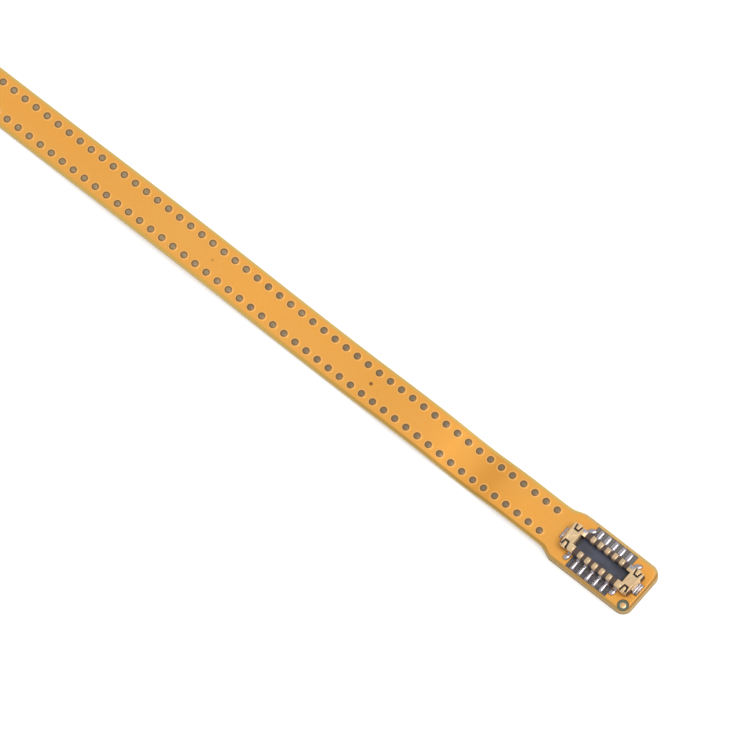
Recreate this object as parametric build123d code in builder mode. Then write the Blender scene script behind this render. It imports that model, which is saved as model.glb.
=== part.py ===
from build123d import *
import os
from math import radians, tan

os.makedirs("parts", exist_ok=True)

# A flat flexible circuit with a board-to-board plug soldered on the widened head at each end.
# It lies along X, plugs up. The origin is under its middle, on the surface it lies on.

# The film and its heads
cable_length = 60.0
film_thickness = 0.19
strip_width = 1.84
head_width = 2.22
head_overhang = 2.03
shoulder_start = 2.12
shoulder_length = 0.44
shoulder_radius = 0.4
head_corner_radius = 0.40
stiffener_thickness = 0.17
stiffener_length = 4.2

# The gentle waves in which the film lies: distance from the end, height of the film's middle
lying_height = film_thickness / 2
head_height = stiffener_thickness + film_thickness / 2
near_waves = [
    (4.95, head_height),
    (6.50, head_height + 0.030),
    (8.15, lying_height - 0.047),
    (10.65, lying_height + 0.215),
    (15.00, lying_height - 0.042),
    (23.00, lying_height + 0.250),
    (31.20, lying_height - 0.034),
]
far_waves = [
    (4.95, head_height),
    (6.60, lying_height + 0.080),
    (9.80, lying_height - 0.013),
    (18.00, lying_height + 0.110),
]
arc_share = 0.45

# The two rows of plated vias
via_diameter = 0.30
via_rise = 0.015
via_pitch = 0.543
via_row_spacing = 1.05
via_setback = 2.67
via_sides = 6

# The windows in the coverlay and the pads in them
coverlay_thickness = 0.03
pad_thickness = 0.02
window_margin = 0.02
tail_window_margin = 0.11
tail_window_end_margin = 0.17
test_pad_diameter = 0.25
test_window_diameter = 0.44
test_pad_ahead = 1.73
test_pad_aside = 0.83

# The plug's contacts
contacts_per_row = 5
contact_pitch = 0.35
contact_thickness = 0.06
crown_bend = 0.09
tail_bend = 0.05
contact_width = 0.20
tail_width = 0.14
row_spacing = 0.765
contact_span = 0.28
tail_tip_spacing = 1.88
plug_height = 0.40

# The plug's housing
floor_thickness = 0.10
crown_rise = 0.03
contact_rise = 0.02
root_depth = 0.04
rim_chamfer = 0.03
recess_margin = 0.48

# The plug's end nails
nail_thickness = 0.07
nail_bend = 0.09
foot_bend = 0.05
nail_length = 0.52
nail_foot_length = 0.20
nail_foot_width = 0.48
nail_foot_corner = 0.08
nail_rise = 0.01
saddle_inset = 0.03
ear_inset = 0.16
ear_length = 0.23
leg_inset = 0.02
leg_width = 0.15
leg_length = 0.26
skirt_gap = 0.06
slit_width = 0.07
slit_mouth = 0.36
slit_length = 0.36
slit_edge_angle = 79
slit_band = 0.08

# The solder at the tails and feet
solder_run = 0.03
solder_climb = 0.04

# Places that follow from the sizes
end_x = cable_length / 2
plug_x = end_x - head_overhang
neck_x = plug_x - shoulder_start
deck = stiffener_thickness + film_thickness
window_floor = deck - coverlay_thickness
pad_top = window_floor + pad_thickness
plug_top = deck + plug_height
wall_top = plug_top - crown_rise
recess_floor = deck + floor_thickness
row_y = row_spacing / 2
tip_y = tail_tip_spacing / 2
side_y = row_y + contact_span / 2
inner_y = row_y - contact_span / 2
recess_width = row_spacing - contact_span + 2 * contact_rise
housing_width = row_spacing + contact_span - 2 * contact_rise
row_length = contact_pitch * (contacts_per_row - 1)
nail_seat = plug_top - nail_thickness
nail_start = row_length / 2 + recess_margin
nail_end = nail_start + nail_length
housing_length = 2 * (nail_end - nail_rise)
foot_end = nail_end + nail_foot_length
window_start = side_y - nail_thickness
foot_window_start = nail_end - nail_thickness
leg_end_y = side_y + leg_length
ear_x = nail_start - ear_inset + ear_length / 2
leg_x = nail_start - ear_inset + leg_inset + leg_width / 2
skirt_bottom = deck + skirt_gap
slit_x = (nail_start + nail_end) / 2
tongue_mouth = slit_mouth - 2 * slit_width
tongue_length = slit_length - slit_width


def arc_radii(points):
    """The radius of the tangent arc at each inner point of a route."""
    radii = []
    for before, corner, after in zip(points, points[1:], points[2:]):
        run_in = Vector(*corner) - Vector(*before)
        run_out = Vector(*after) - Vector(*corner)
        half_turn = radians(run_in.get_angle(run_out)) / 2
        radii.append(arc_share * min(run_in.length, run_out.length) / tan(half_turn))
    return radii


# The route of the film's middle, from the far end to the near end, seen from the side
cable_route = [(-end_x, head_height)]
cable_route += [(distance - end_x, height) for distance, height in far_waves]
cable_route += [(end_x - distance, height) for distance, height in reversed(near_waves)]
cable_route += [(end_x, head_height)]
print("arc radii of the film:", [round(radius, 1) for radius in arc_radii(cable_route)])


# The film's middle as a line, seen from the side
with BuildLine(Plane.XZ) as film_line:
    FilletPolyline(*cable_route, radius=arc_radii(cable_route))


def formed_section(face, bends, thickness):
    """The edge-on section of a formed strip: face is its outer face, rounded at the bends."""
    with BuildSketch() as section:
        with BuildLine():
            front = FilletPolyline(*face, radius=bends)
            rear = offset(
                Polyline(*face, mode=Mode.PRIVATE),
                amount=thickness,
                side=Side.RIGHT,
                kind=Kind.INTERSECTION,
                closed=False,
                mode=Mode.ADD,
            )
            Line(front @ 0, rear @ 0)
            Line(front @ 1, rear @ 1)
        make_face()
    return section.sketch


# The outline of the film from above, one quarter mirrored about both middles
with BuildSketch() as film_outline:
    with BuildLine():
        FilletPolyline(
            (0, strip_width / 2),
            (neck_x, strip_width / 2),
            (neck_x + shoulder_length, head_width / 2),
            (end_x, head_width / 2),
            (end_x, 0),
            radius=[shoulder_radius, shoulder_radius, head_corner_radius],
        )
        mirror(about=Plane.XZ)
        mirror(about=Plane.YZ)
    make_face()


def tail_places():
    """Where the contacts stand along the plug."""
    first = plug_x - row_length / 2
    return [first + contact_pitch * index for index in range(contacts_per_row)]


# The coverlay windows of one head: two rows of tails, four nail legs, two nail feet
with BuildSketch() as head_windows:
    tail_window_length = row_length + contact_width + 2 * tail_window_end_margin
    tail_window = tip_y + tail_window_margin / 2 - window_start
    leg_window = leg_end_y + solder_run + window_margin - window_start
    foot_window = foot_end + solder_run + window_margin - foot_window_start
    for side in (-1, 1):
        with Locations((plug_x, side * (window_start + tail_window / 2))):
            Rectangle(tail_window_length, tail_window)
        with Locations((plug_x + side * (foot_window_start + foot_window / 2), 0)):
            Rectangle(foot_window, nail_foot_width + 2 * window_margin)
        for end in (-1, 1):
            with Locations((plug_x + end * leg_x, side * (window_start + leg_window / 2))):
                Rectangle(leg_width + window_margin, leg_window)
    with Locations((plug_x + test_pad_ahead, -test_pad_aside)):
        Circle(test_window_diameter / 2)

with BuildPart() as flex_film:
    with BuildSketch(Plane.XZ):
        for face in (Side.LEFT, Side.RIGHT):
            with BuildLine():
                FilletPolyline(*cable_route, radius=arc_radii(cable_route))
                offset(amount=film_thickness / 2, side=face)
            make_face()
    extrude(amount=head_width, both=True)
    with BuildSketch():
        add(film_outline.sketch)
    extrude(amount=plug_top, mode=Mode.INTERSECT)
    with BuildSketch(Plane.XY.offset(window_floor)):
        add(head_windows.sketch)
        mirror(about=Plane.YZ)
    extrude(amount=plug_top, mode=Mode.SUBTRACT)

with BuildPart() as near_stiffener:
    with BuildSketch():
        add(film_outline.sketch)
        with Locations((end_x - stiffener_length / 2, 0)):
            Rectangle(stiffener_length, head_width, mode=Mode.INTERSECT)
    extrude(amount=stiffener_thickness)

# The lands of the vias, set square on the top of the film and spaced along it
film_middle = film_line.wire()
first_via = film_middle.length - head_overhang - via_setback
via_count = int((first_via - head_overhang - via_setback) / via_pitch) + 1
via_planes = []
for index in range(via_count):
    distance = first_via - via_pitch * index
    spot = film_middle.position_at(distance, position_mode=PositionMode.LENGTH)
    along = film_middle.tangent_at(distance, position_mode=PositionMode.LENGTH)
    upward = along.rotate(Axis.Y, -90)
    for side in (-1, 1):
        on_top = spot + upward * (film_thickness / 2) + Vector(0, side * via_row_spacing / 2, 0)
        via_planes.append(Plane(on_top, x_dir=along, z_dir=upward))
with BuildPart() as vias:
    with BuildSketch(*via_planes):
        RegularPolygon(via_diameter / 2, via_sides, rotation=180 / via_sides)
    extrude(amount=via_rise)

with BuildPart() as near_pads:
    with BuildSketch(Plane.XY.offset(window_floor)):
        tail_pad = tip_y + solder_run - window_start
        leg_pad = leg_end_y + solder_run - window_start
        foot_pad = foot_end + solder_run - foot_window_start
        for side in (-1, 1):
            for place in tail_places():
                with Locations((place, side * (window_start + tail_pad / 2))):
                    Rectangle(contact_width - window_margin, tail_pad)
            with Locations((plug_x + side * (foot_window_start + foot_pad / 2), 0)):
                Rectangle(foot_pad, nail_foot_width)
            for end in (-1, 1):
                with Locations((plug_x + end * leg_x, side * (window_start + leg_pad / 2))):
                    Rectangle(leg_width, leg_pad)
    extrude(amount=pad_thickness)

with BuildPart() as near_test_pad:
    with BuildSketch(Plane.XY.offset(window_floor)):
        with Locations((plug_x + test_pad_ahead, -test_pad_aside)):
            Circle(test_pad_diameter / 2)
    extrude(amount=pad_thickness)


def plane_across(place, side):
    """An upright plane across the cable whose first axis points to one side."""
    return Plane((place, 0, 0), x_dir=(0, side, 0), z_dir=(side, 0, 0))


def plane_along(end):
    """The upright plane along the plug's middle whose first axis points to one end."""
    return Plane((plug_x, 0, 0), x_dir=(end, 0, 0), z_dir=(0, -end, 0))


def make_contact(place, side):
    """A strip that wraps over one long wall of the housing and runs out as a soldered tail."""
    face = [
        (inner_y, recess_floor - root_depth),
        (inner_y, plug_top),
        (side_y, plug_top),
        (side_y, pad_top + contact_thickness),
        (tip_y, pad_top + contact_thickness),
    ]
    with BuildPart() as contact:
        with BuildSketch(plane_across(place, side)):
            add(formed_section(face, (crown_bend, crown_bend, tail_bend), contact_thickness))
        extrude(amount=contact_width / 2, both=True)
        with BuildSketch():
            with Locations((place, side * row_y)):
                Rectangle(contact_width, contact_span)
            with Locations((place, side * (row_y + tip_y) / 2)):
                Rectangle(tail_width, tip_y - row_y)
        extrude(amount=plug_top, mode=Mode.INTERSECT)
    return contact


contacts = {}
for row, side in (("a", -1), ("b", 1)):
    for index, place in enumerate(tail_places()):
        contacts[f"contact_{row}{index + 1}"] = make_contact(place, side)


def make_nail(end):
    """A formed nail: lip, top plate, end flap and foot in one strap, with a saddle and two legs."""
    foot_top = pad_top + nail_thickness
    strap = [
        (nail_start, recess_floor - root_depth),
        (nail_start, plug_top),
        (nail_end, plug_top),
        (nail_end, foot_top),
        (foot_end, foot_top),
    ]
    saddle = [(-side_y, skirt_bottom), (-side_y, plug_top), (side_y, plug_top), (side_y, skirt_bottom)]
    with BuildPart() as nail:
        with BuildSketch(plane_along(end)):
            add(formed_section(strap, (nail_bend, nail_bend, foot_bend), nail_thickness))
        extrude(amount=nail_foot_width / 2, both=True)
        foot_edges = nail.edges().filter_by(Axis.Z).sort_by(Axis.X)
        chamfer(foot_edges[-2:] if end > 0 else foot_edges[:2], nail_foot_corner)
        with BuildSketch(Plane.YZ.offset(plug_x + end * slit_x)):
            add(formed_section(saddle, nail_bend, nail_thickness))
        extrude(amount=nail_length / 2 - saddle_inset, both=True)
        ear = [(inner_y, plug_top), (side_y, plug_top), (side_y, skirt_bottom)]
        leg = [(inner_y, plug_top), (side_y, plug_top), (side_y, foot_top), (leg_end_y, foot_top)]
        for side in (-1, 1):
            with BuildSketch(plane_across(plug_x + end * ear_x, side)):
                add(formed_section(ear, nail_bend, nail_thickness))
            extrude(amount=ear_length / 2, both=True)
            with BuildSketch(plane_across(plug_x + end * leg_x, side)):
                add(formed_section(leg, (nail_bend, foot_bend), nail_thickness))
            extrude(amount=leg_width / 2, both=True)
        # a U-shaped slit on each side leaves a tapered tongue that bends over the edge
        with BuildSketch(Plane.XY.offset(skirt_bottom + slit_band)):
            for side, turn in ((-1, 0), (1, 180)):
                mouth_y = side_y + slit_width
                with Locations((plug_x + end * slit_x, side * (mouth_y - slit_length / 2))):
                    Trapezoid(slit_mouth, slit_length, slit_edge_angle, rotation=turn)
                with Locations((plug_x + end * slit_x, side * (mouth_y - tongue_length / 2))):
                    Trapezoid(
                        tongue_mouth,
                        tongue_length,
                        slit_edge_angle,
                        rotation=turn,
                        mode=Mode.SUBTRACT,
                    )
        extrude(amount=plug_top, mode=Mode.SUBTRACT)
    return nail


nails = {"nail_inner": make_nail(-1), "nail_outer": make_nail(1)}

with BuildPart() as near_housing:
    with BuildSketch(Plane.XY.offset(deck)):
        with Locations((plug_x, 0)):
            Rectangle(housing_length, housing_width)
    extrude(amount=wall_top - deck)
    chamfer(near_housing.faces().sort_by(Axis.Z)[-1].edges(), rim_chamfer)
    with BuildSketch(Plane.XY.offset(recess_floor)):
        with Locations((plug_x, 0)):
            Rectangle(2 * nail_start, recess_width)
    extrude(amount=plug_height, mode=Mode.SUBTRACT)
    with BuildSketch(Plane.XY.offset(nail_seat)):
        seat_start = nail_start - ear_inset
        seat_length = housing_length / 2 - seat_start
        for end in (-1, 1):
            with Locations((plug_x + end * (seat_start + seat_length / 2), 0)):
                Rectangle(seat_length, housing_width)
    extrude(amount=plug_height, mode=Mode.SUBTRACT)
    for metal in (*contacts.values(), *nails.values()):
        add(metal.part, mode=Mode.SUBTRACT)


def solder_section(toe):
    """A fillet of solder seen from its side, against the metal's end at toe."""
    with BuildSketch() as wedge:
        with BuildLine():
            Polyline((toe, pad_top), (toe + solder_run, pad_top), (toe, pad_top + solder_climb), close=True)
        make_face()
    return wedge.sketch


with BuildPart() as near_solder:
    for side in (-1, 1):
        for place in tail_places():
            with BuildSketch(plane_across(place, side)):
                add(solder_section(tip_y))
            extrude(amount=tail_width / 2, both=True)
        for end in (-1, 1):
            with BuildSketch(plane_across(plug_x + end * leg_x, side)):
                add(solder_section(leg_end_y))
            extrude(amount=leg_width / 2, both=True)
        with BuildSketch(plane_along(side)):
            add(solder_section(foot_end))
        extrude(amount=nail_foot_width / 2 - nail_foot_corner, both=True)

near_pieces = {
    "stiffener": near_stiffener,
    "pads": near_pads,
    "test_pad": near_test_pad,
    "solder": near_solder,
    "housing": near_housing,
}
near_pieces.update(contacts)
near_pieces.update(nails)

flex_film.part.label = "flex_film"
export_step(flex_film.part, "parts/flex_film.step")
vias.part.label = "vias"
export_step(vias.part, "parts/vias.step")
for name, piece in near_pieces.items():
    piece.part.label = "near_" + name
    export_step(piece.part, f"parts/near_{name}.step")
    with BuildPart() as far_piece:
        mirror(piece.part, about=Plane.YZ)
    far_piece.part.label = "far_" + name
    export_step(far_piece.part, f"parts/far_{name}.step")
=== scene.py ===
from math import cos, hypot, pi, radians, sin, sqrt, tan

import bmesh
import bpy
import numpy as np
from mathutils import Matrix, Vector


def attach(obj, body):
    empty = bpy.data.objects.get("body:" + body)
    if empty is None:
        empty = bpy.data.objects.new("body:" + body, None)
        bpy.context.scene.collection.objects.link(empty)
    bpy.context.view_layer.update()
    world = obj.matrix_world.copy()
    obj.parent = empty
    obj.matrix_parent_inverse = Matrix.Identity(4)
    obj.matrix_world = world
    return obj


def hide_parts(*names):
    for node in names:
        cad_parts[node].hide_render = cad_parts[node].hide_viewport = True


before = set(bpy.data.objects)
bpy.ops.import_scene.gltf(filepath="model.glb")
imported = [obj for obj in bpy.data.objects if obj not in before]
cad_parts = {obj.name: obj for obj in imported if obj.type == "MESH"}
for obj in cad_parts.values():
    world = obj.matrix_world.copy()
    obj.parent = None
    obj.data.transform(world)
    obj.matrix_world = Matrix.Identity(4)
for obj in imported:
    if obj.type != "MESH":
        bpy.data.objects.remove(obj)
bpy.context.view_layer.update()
mm = 0.001

# The viewpoint. A long lens looks down on the near head from beyond the cable's lower edge,
# so close that the strip runs out of the picture. The slant lays the cable across the picture.
looked_at = Vector((16.600, 0.334, 0.36)) * mm
towards_camera = Vector((0.25, -0.24, 0.938)).normalized()
camera_distance = 1.2
field_width = 28.15 * mm
cable_slant = radians(37.77)
cable_way = (Vector((1, 0, 0)) - towards_camera * towards_camera.x).normalized()
side_way = towards_camera.cross(cable_way)
picture_right = cable_way * cos(cable_slant) + side_way * sin(cable_slant)
picture_up = side_way * cos(cable_slant) - cable_way * sin(cable_slant)
lens = bpy.data.cameras.new("camera")
lens.sensor_width = 36
lens.lens = lens.sensor_width * camera_distance / field_width
lens.clip_start, lens.clip_end = 0.01, 10
camera = bpy.data.objects.new("camera", lens)
camera.matrix_world = Matrix.Translation(looked_at + towards_camera * camera_distance) @ (
    Matrix((picture_right, picture_up, towards_camera)).transposed().to_4x4()
)
bpy.context.scene.collection.objects.link(camera)
bpy.context.scene.camera = camera

# The film. Amber polyimide over copper, laminated and punched as one thin strip with a wider
# head at each end. It lies in gentle waves, and the coverlay is open over the solder pads.
ends = {"near": 1, "far": -1}
film_thickness = 0.19
end_x = 30.0
plug_x = 27.97
strip_half = 0.92
head_half = 1.11
neck_x = plug_x - 2.12
shoulder_length = 0.44
shoulder_soft = 0.03
corner_radius = 0.40
# places along the cable and heights of the control points of its middle line
route = [
    (30.00, 0.265),
    (26.60, 0.265),
    (25.05, 0.265),
    (23.50, 0.295),
    (21.85, 0.048),
    (19.35, 0.310),
    (15.00, 0.053),
    (7.00, 0.345),
    (-1.20, 0.061),
    (-12.00, 0.205),
    (-20.20, 0.082),
    (-23.40, 0.175),
    (-25.05, 0.265),
    (-26.70, 0.265),
    (-30.00, 0.265),
]
route_steps = 40


def smooth_line(points, steps):
    """Points read from the smooth spline that has the given points as its control points."""
    curve = bpy.data.curves.new("route", "CURVE")
    curve.dimensions = "3D"
    curve.resolution_u = steps
    spline = curve.splines.new("NURBS")
    spline.points.add(len(points) - 1)
    for spot, (x, z) in zip(spline.points, points):
        spot.co = (x * mm, 0, z * mm, 1)
    spline.order_u = 3
    spline.use_endpoint_u = True
    holder = bpy.data.objects.new("route", curve)
    line = bpy.data.meshes.new_from_object(holder)
    read = [tuple(v.co) for v in line.vertices]
    bpy.data.objects.remove(holder)
    bpy.data.curves.remove(curve)
    bpy.data.meshes.remove(line)
    return read


film_path = smooth_line(route, route_steps)
path_x = np.array([p[0] for p in film_path[::-1]]) / mm
path_z = np.array([p[2] for p in film_path[::-1]]) / mm
path_run = np.concatenate(([0], np.cumsum(np.hypot(np.diff(path_x), np.diff(path_z)))))
path_slope = np.gradient(path_z, path_x)


def on_film(x, y, rise):
    """The place over x, y that stands rise above the film's middle, square to the film."""
    slope = np.interp(x, path_x, path_slope)
    size = hypot(1, slope)
    height = np.interp(x, path_x, path_z)
    return (x - rise * slope / size, y, height + rise / size)


def half_width(x):
    """Half the width of the film, with soft shoulders and round corners at the head."""
    place = abs(x)
    ramp = (place - neck_x) / shoulder_length
    soft = shoulder_soft / shoulder_length
    eased = (sqrt(ramp * ramp + soft) - sqrt((ramp - 1) ** 2 + soft) + 1) / 2
    half = strip_half + (head_half - strip_half) * min(max(eased, 0), 1)
    past = place - (end_x - corner_radius)
    if past > 0:
        half = head_half - corner_radius + sqrt(max(corner_radius**2 - past**2, 0))
    return half


def from_outline(x, y):
    """How far inside the film's outline a place is."""
    ahead = abs(x) - (end_x - corner_radius)
    aside = abs(y) - (head_half - corner_radius)
    inside = corner_radius - hypot(max(ahead, 0), max(aside, 0)) - min(max(ahead, aside), 0)
    return min(inside, half_width(x) - abs(y))


rim_width = 0.115
rim_slope = 0.03
rim_drop = 0.012
edge_round = 0.014


def relief(inward):
    """How far the film's face lies below full thickness, by distance from its outline."""
    step = min(max((rim_width - inward) / rim_slope, 0), 1)
    rolled = min(max(1 - inward / edge_round, 0), 1)
    return rim_drop * step * step * (3 - 2 * step) + edge_round * (1 - sqrt(1 - rolled**2))


def new_piece(name, places, faces, slot, smooth=True):
    """A piece of the object from places in millimetres, riding with the cable."""
    mesh = bpy.data.meshes.new(name)
    mesh.from_pydata([(x * mm, y * mm, z * mm) for x, y, z in places], [], faces)
    mesh.validate()
    shape = bmesh.new()
    shape.from_mesh(mesh)
    bmesh.ops.recalc_face_normals(shape, faces=shape.faces)
    for face in shape.faces:
        face.smooth = smooth
    shape.to_mesh(mesh)
    shape.free()
    piece = bpy.data.objects.new(name, mesh)
    bpy.context.scene.collection.objects.link(piece)
    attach(piece, "root")
    return piece


# stations along the film are close together at the round corners and the rims
station_gap = 0.125
end_stretch = 0.5
corner_turn = 9
edge_steps = [0, 0.003, 0.007, 0.014, 0.04, 0.07, 0.08, 0.09, 0.10, 0.14]
half_columns = 7
wall_level = 0.18
stations = set(
    np.round(np.arange(-end_x + end_stretch, end_x - end_stretch + 0.01, station_gap), 4)
)
for turn in range(0, 91, corner_turn):
    stations.add(round(end_x - corner_radius * (1 - sin(radians(turn))), 4))
stations.update(round(end_x - step, 4) for step in edge_steps)
stations.update(round(-place, 4) for place in list(stations) if place > end_x - end_stretch)
stations = sorted(stations)
across = [step / half_columns - 1 for step in range(2 * half_columns + 1)]
places, faces = [], []
for x in stations:
    half = half_width(x)
    inner = half - edge_steps[-1]
    row = [-(half - step) for step in edge_steps[:-1]]
    row += [inner * share for share in across]
    row += [half - step for step in edge_steps[-2::-1]]
    top = [(y, film_thickness / 2 - relief(from_outline(x, y))) for y in row]
    bottom = [(y, -film_thickness / 2 + relief(from_outline(x, y)) / 2) for y in row[::-1]]
    wall = [(half, film_thickness * share) for share in (wall_level, -wall_level)]
    loop = top + wall + bottom + [(-y, rise) for y, rise in wall[::-1]]
    places += [on_film(x, y, rise) for y, rise in loop]
ring = len(loop)
columns = len(row)
for station in range(len(stations) - 1):
    first = station * ring
    for index in range(ring):
        after = (index + 1) % ring
        faces.append((first + index, first + after, first + ring + after, first + ring + index))
for first in (0, (len(stations) - 1) * ring):
    for index in range(columns - 1):
        mirror = 2 * columns - index
        faces.append((first + index, first + index + 1, first + mirror, first + mirror + 1))
    right_wall = [first + columns - 1, first + columns, first + columns + 1, first + columns + 2]
    left_wall = [first + ring - 3, first + ring - 2, first + ring - 1, first]
    faces += [right_wall, left_wall]
film = new_piece("flex_film_strip", places, faces, "film")

# windows in the coverlay: two rows of tails, four nail legs, two nail feet and the test pad
side_y, tip_y, leg_end = 0.5225, 0.94, 0.7825
window_levels = (0.33, 0.45)
window_corner = 0.035
window_start = side_y - 0.07
tail_window_length, tail_window_end = 1.95, tip_y + 0.055
leg_x, leg_window_length, leg_window_end = 1.115, 0.17, leg_end + 0.05
foot_x, foot_window_length, foot_window_width = 1.765, 0.27, 0.52
test_pad_x, test_pad_y, test_window = 1.73, -0.83, 0.47
leg_lean = {1: 0.13, -1: -0.04}


def rounded_rectangle(centre, length, width, radius, steps=4):
    """The corners of a rectangle from above, rounded."""
    spots = []
    for corner, (sx, sy) in enumerate(((1, 1), (-1, 1), (-1, -1), (1, -1))):
        for step in range(steps + 1):
            turn = (corner + step / steps) * pi / 2
            x = centre[0] + sx * (length / 2 - radius) + radius * cos(turn)
            y = centre[1] + sy * (width / 2 - radius) + radius * sin(turn)
            spots.append((x, y))
    return spots


def stacked(outlines):
    """Places and faces of a solid through a stack of outlines, each a list of places."""
    count = len(outlines[0])
    spots = [spot for outline in outlines for spot in outline]
    skin = [tuple(range(count))[::-1]]
    for level in range(len(outlines) - 1):
        low = level * count
        for index in range(count):
            after = (index + 1) % count
            skin.append((low + index, low + after, low + count + after, low + count + index))
    skin.append(tuple(range((len(outlines) - 1) * count, len(outlines) * count)))
    return spots, skin


def joined(solids):
    """Places and faces of several solids as one list each."""
    spots, skin = [], []
    for more, faces in solids:
        skin += [tuple(len(spots) + index for index in face) for face in faces]
        spots += more
    return spots, skin


def side_of(value):
    """1 on the positive side and -1 on the other."""
    return 1 if value > 0 else -1


def lean(y):
    """How far a leg has been pushed along the cable at a place beside the plug."""
    share = max(abs(y) - side_y, 0) / (leg_end - side_y)
    return leg_lean[side_of(y)] * share


windows = []
for end in ends.values():
    for side in (1, -1):
        centre = (end * plug_x, side * (window_start + tail_window_end) / 2)
        width = tail_window_end - window_start
        windows.append(rounded_rectangle(centre, tail_window_length, width, window_corner))
        centre = (end * plug_x + side * foot_x, 0)
        windows.append(
            rounded_rectangle(centre, foot_window_length, foot_window_width, window_corner)
        )
        for way in (1, -1):
            centre = (end * plug_x + way * leg_x, side * (window_start + leg_window_end) / 2)
            width = leg_window_end - window_start
            upright = rounded_rectangle(centre, leg_window_length, width, window_corner)
            windows.append([(x + end * lean(y), y) for x, y in upright])
for end in ends.values():
    centre = (end * (plug_x + test_pad_x), test_pad_y)
    round_corner = test_window / 2 - 0.0001
    windows.append(rounded_rectangle(centre, test_window, test_window, round_corner, 10))
cutters = [
    stacked([[(x, y, level) for x, y in window] for level in window_levels]) for window in windows
]


class Wire:
    """A shader socket that can be used in sums."""

    def __init__(self, tree, socket):
        self.tree = tree
        self.socket = socket

    def maths(self, operation, *values):
        numbers = dict(enumerate(values))
        return self.tree.node("ShaderNodeMath", {"operation": operation}, numbers)

    def __add__(self, other):
        return self.maths("ADD", self, other)

    def __radd__(self, other):
        return self.maths("ADD", other, self)

    def __sub__(self, other):
        return self.maths("SUBTRACT", self, other)

    def __rsub__(self, other):
        return self.maths("SUBTRACT", other, self)

    def __mul__(self, other):
        return self.maths("MULTIPLY", self, other)

    def __rmul__(self, other):
        return self.maths("MULTIPLY", other, self)

    def __pow__(self, other):
        return self.maths("POWER", self, other)

    def __abs__(self):
        return self.maths("ABSOLUTE", self)

    def least(self, other):
        return self.maths("MINIMUM", self, other)

    def most(self, other):
        return self.maths("MAXIMUM", self, other)

    def ramp(self, low, high):
        """0 below low, 1 above high, and smooth between."""
        settings = {"interpolation_type": "SMOOTHSTEP"}
        sockets = {"Value": self, "From Min": low, "From Max": high}
        return self.tree.node("ShaderNodeMapRange", settings, sockets)


class Finish:
    """A material and its shader nodes."""

    def __init__(self, name, **constants):
        self.material = bpy.data.materials.new(name)
        self.material.use_nodes = True
        self.nodes = self.material.node_tree.nodes
        self.links = self.material.node_tree.links
        self.shader = self.nodes["Principled BSDF"]
        self.set(**constants)

    def set(self, **sockets):
        """Sets or links the shader's sockets, named with _ for a space."""
        for name, value in sockets.items():
            self.feed(self.shader, name.replace("_", " "), value)

    def feed(self, node, socket, value):
        if isinstance(value, Wire):
            self.links.new(value.socket, node.inputs[socket])
        else:
            node.inputs[socket].default_value = value

    def node(self, kind, settings=None, sockets=None, output=0):
        """A node of a kind: its settings first, then the values or links of its sockets."""
        node = self.nodes.new(kind)
        for name, value in (settings or {}).items():
            setattr(node, name, value)
        for name, value in (sockets or {}).items():
            self.feed(node, name, value)
        return Wire(self, node.outputs[output])

    def place(self):
        """The place in the row frame, in millimetres."""
        spot = self.node("ShaderNodeTexCoord", output="Object")
        return self.node("ShaderNodeVectorMath", {"operation": "SCALE"}, {0: spot, "Scale": 1000})

    def parts(self, spot):
        """The three coordinates of a place."""
        return [self.node("ShaderNodeSeparateXYZ", {}, {0: spot}, axis) for axis in range(3)]

    def noise(self, where, size, detail=2, roughness=0.5):
        """Soft noise from 0 to 1 with spots of about size millimetres."""
        sockets = {"Vector": where, "Scale": 1 / size, "Detail": detail, "Roughness": roughness}
        return self.node("ShaderNodeTexNoise", {}, sockets, "Fac")

    def stretched(self, where, along, aside, upward):
        """Coordinates scaled by a factor each way."""
        sockets = {0: where, 1: (along, aside, upward)}
        return self.node("ShaderNodeVectorMath", {"operation": "MULTIPLY"}, sockets)

    def blend(self, share, under, over):
        """One colour over another, by share."""
        sockets = {"Factor": share, 6: under, 7: over}
        return self.node("ShaderNodeMix", {"data_type": "RGBA"}, sockets, 2)

    def bump(self, height, depth):
        """A bump whose full height is depth millimetres."""
        sockets = {"Height": height, "Distance": depth * mm, "Strength": 1}
        return self.node("ShaderNodeBump", {}, sockets)


def tint(red, green, blue):
    """A colour given as the eye reads it, 0 to 255, as light."""
    parts = [part / 255 for part in (red, green, blue)]
    return tuple(p / 12.92 if p < 0.04045 else ((p + 0.055) / 1.055) ** 2.4 for p in parts) + (1,)


def off_plug(x):
    """How far along the cable a place is from the middle of the nearer plug."""
    return abs(abs(x) - plug_x)


def off_test_pad(x, y):
    """How far a place is from the middle of the nearer test pad."""
    return ((abs(x) - plug_x - test_pad_x) ** 2 + (y - test_pad_y) ** 2) ** 0.5


# the face: amber over copper, a duller rim without copper, painted shade on the rim's lower side
# and at the ends, a patch of painted shade where the strip slopes away from the lamp, and two
# specks under the coverlay, each a place, a size and a strength
head_fade = 0.8
slope_shade_x = 22.5
specks = ((16.68, 0.065, 0.85), (8.90, 0.05, 0.35))
film_face = Finish("amber_film", Metallic=0.35, IOR=1.5, Coat_Roughness=0.12)
spot = film_face.place()
x, y, _ = film_face.parts(spot)
ahead = abs(x) - (end_x - corner_radius)
aside = abs(y) - (head_half - corner_radius)
corner = (ahead.most(0) ** 2 + aside.most(0) ** 2) ** 0.5
inside = corner_radius - corner - ahead.most(aside).least(0)
shoulder = (abs(x) - neck_x).ramp(-0.05, shoulder_length + 0.05)
inward = inside.least(strip_half - abs(y) + (head_half - strip_half) * shoulder)
wander = film_face.noise(spot, 0.9, 2)
copper = (inward + (wander - 0.5) * 0.02).ramp(rim_width - 0.035, rim_width + 0.015)
cloud = film_face.noise(film_face.stretched(spot, 0.35, 1, 1), 1.6, 3)
grain = film_face.noise(spot, 0.11, 3, 0.65)
amber = film_face.blend(cloud.ramp(0.3, 0.7), tint(246, 171, 66), tint(243, 174, 76))
amber = film_face.blend(grain.ramp(0.35, 0.75) * 0.35, amber, tint(234, 161, 62))
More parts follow.
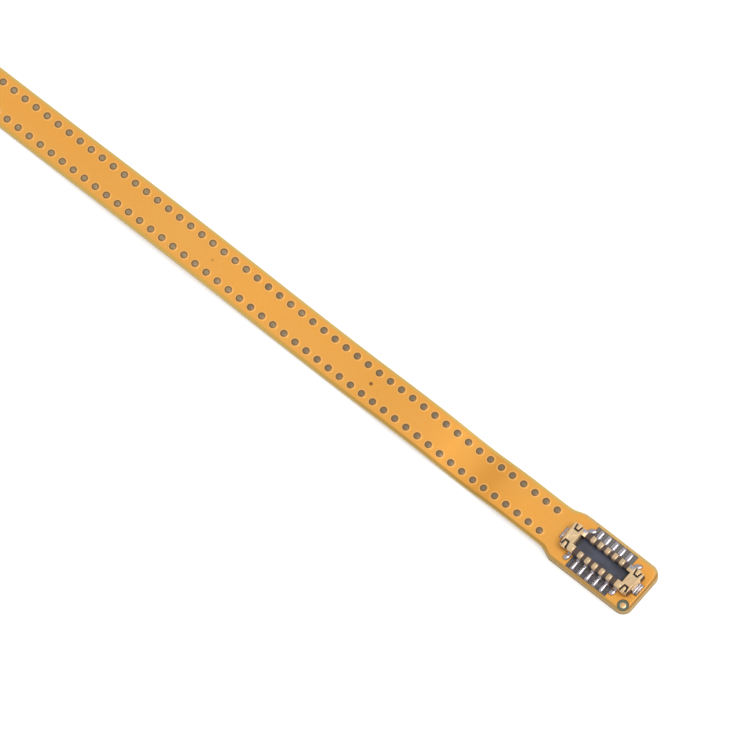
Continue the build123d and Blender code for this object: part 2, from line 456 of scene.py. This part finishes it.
at_head = abs(x).ramp(neck_x, neck_x + head_fade)
# painted shade: the rim is darker on its lower side, growing darker towards the heads, and darker
# again right at the ends of the film
shaded_low_rim = film_face.blend(abs(x).ramp(8, 23), tint(216, 174, 84), tint(184, 141, 60))
rim = film_face.blend(y.ramp(-0.5, 0.5), shaded_low_rim, tint(222, 184, 98))
head_rim = film_face.blend(y.ramp(-0.5, 0.5), tint(182, 144, 78), tint(210, 178, 112))
rim = film_face.blend(at_head, rim, head_rim)
rim = film_face.blend(abs(x).ramp(end_x - 0.2, end_x - 0.08), rim, tint(186, 138, 68))
# painted shade: a darker band where the strip's face turns away from the lamp
slope_shade = 1 - abs(x - slope_shade_x).ramp(0.1, 0.95)
amber = film_face.blend(slope_shade * 0.55, amber, tint(226, 152, 46))
colour = film_face.blend(copper, rim, amber)
for speck_x, size, share in specks:
    away = ((x - speck_x) ** 2 + y**2) ** 0.5 + (grain - 0.5) * 0.05
    speck = (1 - away.ramp(size * 0.6, size * 1.5)) * share
    colour = film_face.blend(speck, colour, tint(96, 52, 24))
bare = 1 - copper
film_face.set(Base_Color=colour, Roughness=0.34 + grain * 0.10 + bare * at_head * 0.25)
film_face.set(Coat_Weight=0.25 - bare * at_head * 0.25)
film_face.set(Normal=film_face.bump(grain + cloud * 2, 0.0025))

# the cut edge, where the layers of film and adhesive show, duller at the heads
film_wall = Finish("film_cut_edge", Roughness=0.55)
spot = film_wall.place()
x, _, _ = film_wall.parts(spot)
fibre = film_wall.noise(film_wall.stretched(spot, 0.4, 0.4, 3), 0.12, 3)
strip_wall = film_wall.blend(fibre, tint(236, 206, 138), tint(212, 182, 114))
head_wall = film_wall.blend(fibre, tint(216, 176, 108), tint(194, 154, 88))
at_head = abs(x).ramp(neck_x, neck_x + head_fade)
film_wall.set(Base_Color=film_wall.blend(at_head, strip_wall, head_wall))

# the bed of a window, stained by flux, painted paler on the upper side and darker on the lower side
# as painted shade from the plug, and greener round the pad
window_bed = Finish("window_bed", Roughness=0.42, Coat_Weight=0.2)
spot = window_bed.place()
x, y, _ = window_bed.parts(spot)
mottle = window_bed.noise(spot, 0.14, 3)
bed = window_bed.blend(mottle.ramp(0.3, 0.7), tint(68, 66, 72), tint(98, 94, 94))
# painted shade: the beds below the plug stay darker, those above are painted paler
bed = window_bed.blend(y.ramp(0, 0.6), bed, tint(114, 111, 105))
bed = window_bed.blend(1 - off_test_pad(x, y).ramp(0.24, 0.27), bed, tint(98, 102, 84))
window_bed.set(Base_Color=bed, Normal=window_bed.bump(mottle, 0.004))

# the windows are cut with one joined cutter, whose finish stays on the beds
film.data.materials.append(film_face.material)
film.data.materials.append(film_wall.material)
for face in film.data.polygons:
    face.material_index = 1 if abs(face.normal.z) < 0.5 else 0
cutter = new_piece("cutter", *joined(cutters), "film", smooth=False)
cutter.data.materials.append(window_bed.material)
cut = film.modifiers.new("windows", "BOOLEAN")
cut.operation = "DIFFERENCE"
cut.solver = "EXACT"
cut.use_self = True
cut.material_mode = "TRANSFER"
cut.object = cutter
bpy.context.view_layer.update()
opened = bpy.data.meshes.new_from_object(film.evaluated_get(bpy.context.evaluated_depsgraph_get()))
film.modifiers.clear()
film.data = opened
bpy.data.objects.remove(cutter)
crisp = film.modifiers.new("crisp", "EDGE_SPLIT")
crisp.split_angle = radians(50)
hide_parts("flex_film")

# The vias. Two rows of plated and filled holes stitch the copper layers together. Each one
# stands up a little under the coverlay, as a dull round dot in a shallow ring, edged by a pale
# band of painted highlight.
via_pitch = 0.5452
vias_per_row = 94
first_via = 4.64
via_row_y = 0.525
via_sides = 20
via_profile = [
    (0.215, -0.004),
    (0.200, 0.003),
    (0.178, 0.007),
    (0.158, 0.005),
    (0.140, 0.003),
    (0.115, 0.011),
    (0.080, 0.019),
    (0.040, 0.023),
]
via_crown = 0.024
via_root = -0.02
places, faces, reach = [], [], []
for index in range(vias_per_row):
    for side in (1, -1):
        run = first_via + via_pitch * index
        middle = float(np.interp(path_run[-1] - run, path_run, path_x))
        row_y = side * via_row_y
        start = len(places)
        for radius, rise in via_profile:
            for step in range(via_sides):
                turn = 2 * pi * step / via_sides
                x, y = middle + radius * cos(turn), row_y + radius * sin(turn)
                places.append(on_film(x, y, film_thickness / 2 + rise))
                reach.append(radius)
        places.append(on_film(middle, row_y, film_thickness / 2 + via_crown))
        places.append(on_film(middle, row_y, film_thickness / 2 + via_root))
        reach += [0, 0]
        top, under = len(places) - 2, len(places) - 1
        last = start + (len(via_profile) - 1) * via_sides
        for step in range(via_sides):
            after = (step + 1) % via_sides
            for level in range(len(via_profile) - 1):
                low = start + level * via_sides
                high = low + via_sides
                faces.append((low + step, low + after, high + after, high + step))
            faces.append((last + step, last + after, top))
            faces.append((start + after, start + step, under))
vias = new_piece("via_dots", places, faces, "via_plating")

# each place keeps its distance from its own via's centre, for the finish to read
mark = vias.data.attributes.new("from_centre", "FLOAT", "POINT")
mark.data.foreach_set("value", reach)
via_face = Finish("via_under_film", Metallic=0.2, IOR=1.5, Coat_Weight=0.25, Coat_Roughness=0.15)
spot = via_face.place()
x, _, _ = via_face.parts(spot)
radius = via_face.node("ShaderNodeAttribute", {"attribute_name": "from_centre"}, output="Fac")
mottle = via_face.noise(spot, 0.09, 2)
drift = via_face.noise(spot, 1.3, 1)
core = via_face.blend(mottle.ramp(0.3, 0.7), tint(146, 124, 92), tint(166, 148, 112))
dull = (drift + (x - 11) * 0.05).ramp(0.3, 0.7)
core = via_face.blend(dull * 0.8, core, tint(122, 106, 82))
ringed = via_face.blend((radius + (mottle - 0.5) * 0.03).ramp(0.06, 0.125), core, tint(124, 88, 44))
# painted highlight: a pale band round each dot, where its raised rim would catch the light
painted_highlight_ring = via_face.blend(radius.ramp(0.128, 0.160), ringed, tint(243, 180, 94))
via_face.set(Base_Color=via_face.blend(radius.ramp(0.175, 0.212), painted_highlight_ring, tint(244, 171, 69)))
via_face.set(Roughness=0.36 + mottle * 0.1)
vias.data.materials.append(via_face.material)
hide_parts("vias")

# The stiffeners. A short board of glass fibre and resin is bonded under each head, so that
# the plug can be pressed home. Only its cut edge shows.
board = Finish("stiffener_board", Roughness=0.6)
spot = board.place()
layers = board.noise(board.stretched(spot, 0.5, 0.5, 6), 0.15, 3)
fleck = board.noise(spot, 0.05, 2)
edge = board.blend(layers, tint(200, 170, 118), tint(168, 140, 92))
board.set(Base_Color=board.blend(fleck.ramp(0.55, 0.75) * 0.4, edge, tint(120, 108, 76)))
board.set(Normal=board.bump(layers + fleck, 0.006))


def dress(node, finish):
    """Gives a CAD node a finish."""
    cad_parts[node].data.materials.clear()
    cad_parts[node].data.materials.append(finish.material)


for prefix in ends:
    dress(prefix + "_stiffener", board)

# The solder pads and the test pad. Copper lands with a thin gold flash, bare in the windows
# of the coverlay; the round one is for a probe.
pad_top = 0.35
flash = Finish("gold_flash", Metallic=1.0)
spot = flash.place()
wear = flash.noise(spot, 0.06, 3)
flash.set(Base_Color=flash.blend(wear, tint(226, 176, 118), tint(206, 158, 110)))
flash.set(Roughness=0.36 + wear * 0.2, Normal=flash.bump(wear, 0.003))
for prefix in ends:
    dress(prefix + "_pads", flash)
probe_sides = 32
probe_profile = [
    (0.123, 0.328),
    (0.125, 0.344),
    (0.119, 0.352),
    (0.104, 0.357),
    (0.070, 0.361),
    (0.026, 0.363),
]


def turned(centre, profile, sides):
    """A turned solid: profile is a list of radius and height, from the rim to the middle."""
    outlines = []
    for radius, height in profile:
        around = [2 * pi * step / sides for step in range(sides)]
        outlines.append(
            [(centre[0] + radius * cos(t), centre[1] + radius * sin(t), height) for t in around]
        )
    return stacked(outlines)


probe = Finish("probe_gold", Metallic=1.0)
spot = probe.place()
x, y, _ = probe.parts(spot)
wear = probe.noise(spot, 0.05, 3)
gold = probe.blend(off_test_pad(x, y).ramp(0.06, 0.12), tint(246, 200, 138), tint(244, 226, 192))
probe.set(Base_Color=gold, Roughness=0.32 + wear * 0.25, Normal=probe.bump(wear, 0.004))
for prefix, end in ends.items():
    disc = turned((end * (plug_x + test_pad_x), test_pad_y), probe_profile, probe_sides)
    pad = new_piece(prefix + "_probe_pad", *disc, "pad_plating")
    pad.data.materials.append(probe.material)
    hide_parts(prefix + "_test_pad")

# The housings. Each is one block of dark liquid-crystal polymer, moulded round the contacts
# and nails, with an open recess that the mating connector's tongue enters.
moulded_edge = 0.010
weld_gap, flat_turn, sharp_turn = 0.0005, 1, 35
worn_x, worn_y, worn_depth = 1.6, -0.4, 0.07


def softened(node, name, width, smooth, bend):
    """A copy of a CAD node's surface, reshaped by bend and with its sharp edges rounded by width."""
    shape = bmesh.new()
    shape.from_mesh(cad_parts[node].data)
    bmesh.ops.remove_doubles(shape, verts=shape.verts, dist=weld_gap * mm)
    if smooth:
        bmesh.ops.dissolve_limit(
            shape, angle_limit=radians(flat_turn), verts=shape.verts, edges=shape.edges
        )
    places = [bend(*(value / mm for value in vert.co)) for vert in shape.verts]
    places = [tuple(value * mm for value in spot) for spot in places]
    faces = [[vert.index for vert in face.verts] for face in shape.faces]
    shape.free()
    mesh = bpy.data.meshes.new(name)
    mesh.from_pydata(places, [], faces)
    if smooth:
        mesh.shade_smooth()
    piece = bpy.data.objects.new(name, mesh)
    bpy.context.scene.collection.objects.link(piece)
    soft_edge = piece.modifiers.new("soft_edge", "BEVEL")
    soft_edge.width = width * mm
    soft_edge.segments = 2
    soft_edge.limit_method = "ANGLE"
    soft_edge.angle_limit = radians(sharp_turn)
    soft_edge.use_clamp_overlap = True
    if smooth:
        piece.modifiers.new("even_light", "WEIGHTED_NORMAL")
    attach(piece, "root")
    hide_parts(node)
    return piece


def outward(x):
    """The way along the cable that leads away from the plug's middle, 1 or -1."""
    return side_of(x) * side_of(abs(x) - plug_x)


def worn_corner(x, y, z):
    """Draws a plug's outer corners on the lower side in along the cable."""
    if off_plug(x) >= worn_x and y <= worn_y:
        x -= worn_depth * outward(x)
    return (x, y, z)


moulding = Finish("dark_moulding", IOR=1.55)
spot = moulding.place()
x, _, z = moulding.parts(spot)
flow = moulding.noise(moulding.stretched(spot, 0.6, 1.6, 1), 0.35, 3)
grit = moulding.noise(spot, 0.03, 2)
dark = moulding.blend(flow.ramp(0.3, 0.7), tint(58, 60, 72), tint(76, 80, 98))
dark = moulding.blend(z.ramp(0.50, 0.70), dark, tint(78, 60, 50))
# painted shadow: near black where the nails cover the housing and on its end faces
painted_shade_under_nail = off_plug(x).ramp(1.215, 1.225)
dark = moulding.blend(painted_shade_under_nail, dark, tint(34, 24, 22))
# painted shade: darker low down at both ends of the recess
painted_recess_shade = off_plug(x).ramp(1.02, 1.12) * (1 - z.ramp(0.50, 0.66))
dark = moulding.blend(painted_recess_shade * 0.8, dark, tint(46, 34, 28))
moulding.set(Base_Color=dark, Roughness=0.42 + grit * 0.2, Normal=moulding.bump(grit + flow, 0.003))
for prefix in ends:
    node, name = prefix + "_housing", prefix + "_moulded_housing"
    housing = softened(node, name, moulded_edge, False, worn_corner)
    housing.data.materials.append(moulding.material)

# The contacts. Each is a blanked strip of copper alloy, formed over the long wall of the
# housing. Its head is gold plated, and its tail is tinned by the solder that holds it.
contact_pitch = 0.35
contacts_per_row = 5
contact_thickness = 0.06
contact_half, tail_half = 0.10, 0.07
neck_start, neck_length = side_y - 0.01, 0.05
inner_y = 0.2425
plug_top = 0.76
lip_bottom = 0.42
foot_top = pad_top + contact_thickness
contact_face = [
    (inner_y, lip_bottom),
    (inner_y, plug_top),
    (side_y, plug_top),
    (side_y, foot_top),
    (tip_y, foot_top),
]
contact_bends = (0.09, 0.09, 0.05)
contact_places = [
    plug_x + contact_pitch * (index - (contacts_per_row - 1) / 2) for index in range(contacts_per_row)
]
edge_roll, face_crown = 0.026, 0.008
crown_shares = (0.4, 0, -0.4)
longest_step, end_draw = 0.08, 0.7


def bent_route(points, radii, steps=6):
    """A route through points, with its corners rounded by the radii."""
    spots = [Vector(points[0])]
    for before, corner, after, radius in zip(points, points[1:], points[2:], radii):
        corner = Vector(corner)
        back = (Vector(before) - corner).normalized()
        on = (Vector(after) - corner).normalized()
        half = back.angle(on) / 2
        centre = corner + (back + on).normalized() * (radius / sin(half))
        first = corner + back * (radius / tan(half)) - centre
        last = corner + on * (radius / tan(half)) - centre
        for step in range(steps + 1):
            share = step / steps
            turn = pi - 2 * half
            mixed = first * sin((1 - share) * turn) + last * sin(share * turn)
            spots.append(centre + mixed / sin(turn))
    spots.append(Vector(points[-1]))
    return spots


def strip_half_at(spot):
    """Half the contact's width: full at the head, narrow along the tail."""
    neck = min(max((spot.x - neck_start) / neck_length, 0), 1)
    return contact_half - (contact_half - tail_half) * neck * neck * (3 - 2 * neck)


def formed_strip(points, radii, thickness):
    """A strip with rounded edges along a route: places as along, aside and height."""
    spots = bent_route(points, radii)
    filled = [spots[0]]
    for before, after in zip(spots, spots[1:]):
        pieces = max(1, int((after - before).length / longest_step))
        filled += [before.lerp(after, (step + 1) / pieces) for step in range(pieces)]
    sections = []
    for index, spot in enumerate(filled):
        ahead = filled[min(index + 1, len(filled) - 1)] - filled[max(index - 1, 0)]
        square = Vector((-ahead.y, ahead.x)).normalized()
        half = strip_half_at(spot)
        section = []
        for corner, (sx, sy) in enumerate(((1, 0), (-1, 0), (-1, -1), (1, -1))):
            for step in range(4):
                turn = (corner + step / 3) * pi / 2
                aside = sx * (half - edge_roll) + edge_roll * cos(turn)
                depth = (-edge_roll if sy == 0 else edge_roll - thickness) + edge_roll * sin(turn)
                if sy == 0:
                    depth -= face_crown * (aside / half) ** 2
                section.append((aside, depth))
            if corner == 0:
                section += [(half * share, -face_crown * share**2) for share in crown_shares]
        drawn_in = edge_roll * end_draw if index in (0, len(filled) - 1) else 0
        shrink = 1 - drawn_in / half
        sections.append(
            [
                (spot.x + square.x * depth, aside * shrink, spot.y + square.y * depth)
                for aside, depth in section
            ]
        )
    return stacked(sections)


def plated_finish(name, gold_low, gold_high, pale, wicked=0):
    """Gold above, solder-coated below a wandering line that solder has climbed at the legs."""
    finish = Finish(name)
    spot = finish.place()
    x, y, z = finish.parts(spot)
    wander = finish.noise(spot, 0.12, 2)
    brushed = finish.noise(spot, 0.035, 3, 0.6)
    gold = finish.blend(brushed.ramp(0.3, 0.75), pale, tint(226, 190, 138))
    # painted highlight: random pinkish patches of sheen on the gold
    pink_sheen = finish.noise(spot, 0.5, 1)
    gold = finish.blend(pink_sheen.ramp(0.5, 0.75) * 0.3, gold, tint(236, 184, 150))
    tin = finish.blend(brushed, tint(216, 210, 216), tint(170, 164, 174))
    off_leg = abs(off_plug(x) - leg_x - 0.02)
    climbed = (y + wander * 0.06).ramp(0.37, 0.44) * (1 - off_leg.ramp(0.08, 0.13)) * wicked
    line = (z + (wander - 0.5) * 0.12).ramp(gold_low, gold_high) * (1 - climbed)
    finish.set(Base_Color=finish.blend(line, tin, gold), Roughness=0.20 + brushed * 0.22)
    finish.set(Metallic=1 - line * 0.45)
    dents = finish.noise(spot, 0.16, 1)
    finish.set(Normal=finish.bump(brushed * 0.4 + dents, 0.010))
    return finish


contact_metal = plated_finish("contact_plating", 0.50, 0.56, tint(207, 186, 158))
strip_spots, strip_faces = formed_strip(contact_face, contact_bends, contact_thickness)
for prefix, end in ends.items():
    for row, side in (("a", -1), ("b", 1)):
        for index, place in enumerate(contact_places):
            spots = [
                (end * (place + aside), side * along, height)
                for along, aside, height in strip_spots
            ]
            name = f"contact_{row}{index + 1}"
            contact = new_piece(f"{prefix}_formed_{name}", spots, strip_faces, "contact_plating")
            contact.data.materials.append(contact_metal.material)
            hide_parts(f"{prefix}_{name}")

# The end nails. Each is one stamped and formed plate that saddles the end of the housing.
# Two slit tongues grip its sides, and two legs and a foot are soldered to the film.
stamped_edge = 0.012
slit_x = 1.44
foot_end = 1.85
tongue_half, tongue_tip_y, tongue_root_z = 0.115, 0.285, 0.52
tongue_bend, tongue_lift, tongue_spread = 0.15, 0.035, 0.08
tongue_pinch, tongue_draw = 0.18, 0.02
nail_metal = plated_finish("nail_plating", 0.46, 0.54, tint(240, 212, 170), 1)


def formed_by_hand(x, y, z):
    """Pushes a nail's legs along the cable, its tongues up and out, and its foot back."""
    away = off_plug(x)
    off_slit = away - slit_x
    if abs(off_slit) < tongue_half and abs(y) > tongue_tip_y and z > tongue_root_z:
        share = min((abs(y) - tongue_tip_y) / tongue_bend, 1)
        pinch, draw = (tongue_pinch, tongue_draw) if y < 0 else (0, 0)
        return (
            x - outward(x) * off_slit * pinch,
            y * (1 + tongue_spread * share) - draw * (1 - share),
            z + tongue_lift * (1 - share),
        )
    if away > foot_end:
        return (x - outward(x) * (away - foot_end), y, z)
    worn_to, _, _ = worn_corner(x, y, z)
    return (worn_to + side_of(x) * lean(y), y, z)


for prefix in ends:
    for which in ("inner", "outer"):
        node, name = f"{prefix}_nail_{which}", f"{prefix}_formed_nail_{which}"
        nail = softened(node, name, stamped_edge, True, formed_by_hand)
        nail.data.materials.append(nail_metal.material)

# The solder. Printed as paste and melted in an oven, it wets each tail, leg and foot all
# round and sets as a bright bead whose foot spreads on the pad.
bead_foot = 0.345
bead_profile = [(0.045, 0), (0.040, 0.019), (0.020, 0.047), (-0.010, 0.069), (-0.035, 0.079)]
bead_corner = 0.8
tail_start, tail_widths, tail_bead_top = side_y + 0.06, {1: 0.15, -1: 0.10}, 0.424
leg_start, leg_widths, leg_bead_top = side_y + 0.05, {1: 0.25, -1: 0.19}, 0.440
leg_bead_length = leg_end - side_y - 0.02
foot_start, foot_bead_width, foot_bead_top = 1.76, 0.49, 0.436
leg_spreading, foot_spreading = 0.7, 0.6
foot_shade_start = 1.70
solder_finish = Finish("tin_solder", Metallic=1.0)
spot = solder_finish.place()
x, y, _ = solder_finish.parts(spot)
frost = solder_finish.noise(spot, 0.05, 3)
tin = solder_finish.blend(frost, tint(216, 210, 214), tint(166, 160, 168))
# painted shade: the lower half of each foot's solder bead is darkened
foot_shade = (abs(x) - plug_x - foot_shade_start).ramp(-0.02, 0.02)
tin = solder_finish.blend(foot_shade * (1 - y.ramp(-0.08, 0.02)) * 0.85, tin, tint(112, 104, 84))
solder_finish.set(Base_Color=tin, Roughness=0.16 + frost * 0.2)
solder_finish.set(Normal=solder_finish.bump(frost, 0.004))


def bead(centre, length, width, top, spreading=1, slant=0):
    """A bead round a tail: its foot spreads on the pad and its back covers the metal."""
    outlines = []
    for spread, rise in bead_profile:
        long, wide = length + 2 * spread * spreading, width + 2 * spread * spreading
        outline = rounded_rectangle(centre, long, wide, min(long, wide) / 2 * bead_corner, 3)
        level = bead_foot + rise * (top - bead_foot) / bead_profile[-1][1]
        outlines.append([(x + slant * (y - centre[1]), y, level) for x, y in outline])
    return stacked(outlines)


for prefix, end in ends.items():
    solids = []
    for side in (1, -1):
        for place in contact_places:
            centre = (end * place, side * (tail_start + tip_y) / 2)
            solids.append(bead(centre, tail_widths[side], tip_y - tail_start, tail_bead_top))
        for way in (1, -1):
            spot_y = side * (leg_start + leg_end) / 2
            centre = (end * (plug_x + way * leg_x + lean(spot_y)), spot_y)
            slant = end * side * leg_lean[side] / (leg_end - side_y)
            width = leg_widths[side]
            solids.append(
                bead(centre, width, leg_bead_length, leg_bead_top, leg_spreading, slant)
            )
        centre = (end * (plug_x + side * (foot_start + foot_end) / 2), 0)
        length = foot_end - foot_start
        solids.append(bead(centre, length, foot_bead_width, foot_bead_top, foot_spreading))
    solder = new_piece(prefix + "_solder_beads", *joined(solids), "solder")
    solder.data.materials.append(solder_finish.material)
    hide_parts(prefix + "_solder")

# The table and the light. The floor is a plain white table, lit evenly by a pale room, and
# a large soft lamp hangs over it.
floor_size = 2.0
floor = bpy.data.objects.new("table_top", bpy.data.meshes.new("table_top"))
reach = floor_size / 2
floor.data.from_pydata(
    [(-reach, -reach, 0), (reach, -reach, 0), (reach, reach, 0), (-reach, reach, 0)],
    [],
    [(0, 1, 2, 3)],
)
bpy.context.scene.collection.objects.link(floor)
white = Finish("white_table", Roughness=0.9, Base_Color=(0.75, 0.75, 0.75, 1))
white.set(Specular_IOR_Level=0.0)
seen = white.node("ShaderNodeLightPath", output="Is Camera Ray")
for ray in ("Is Glossy Ray", "Is Transmission Ray"):
    seen = seen.most(white.node("ShaderNodeLightPath", output=ray))
white.set(Emission_Color=(1, 1, 1, 1), Emission_Strength=seen * 0.42)
floor.data.materials.append(white.material)
world = bpy.data.worlds.new("studio")
bpy.context.scene.world = world
world.use_nodes = True
background = world.node_tree.nodes["Background"]
background.inputs["Color"].default_value = (1, 1, 1, 1)
background.inputs["Strength"].default_value = 0.62
lamp = bpy.data.lights.new("softbox", "AREA")
lamp.shape = "DISK"
lamp.size = 0.5
lamp.energy = 2.7
softbox = bpy.data.objects.new("softbox", lamp)
softbox.location = (0.35, 0.12, 0.60)
softbox.rotation_euler = (Vector((0, 0, 0)) - softbox.location).to_track_quat("-Z", "Y").to_euler()
bpy.context.scene.collection.objects.link(softbox)
bpy.context.scene.view_settings.view_transform = "Standard"
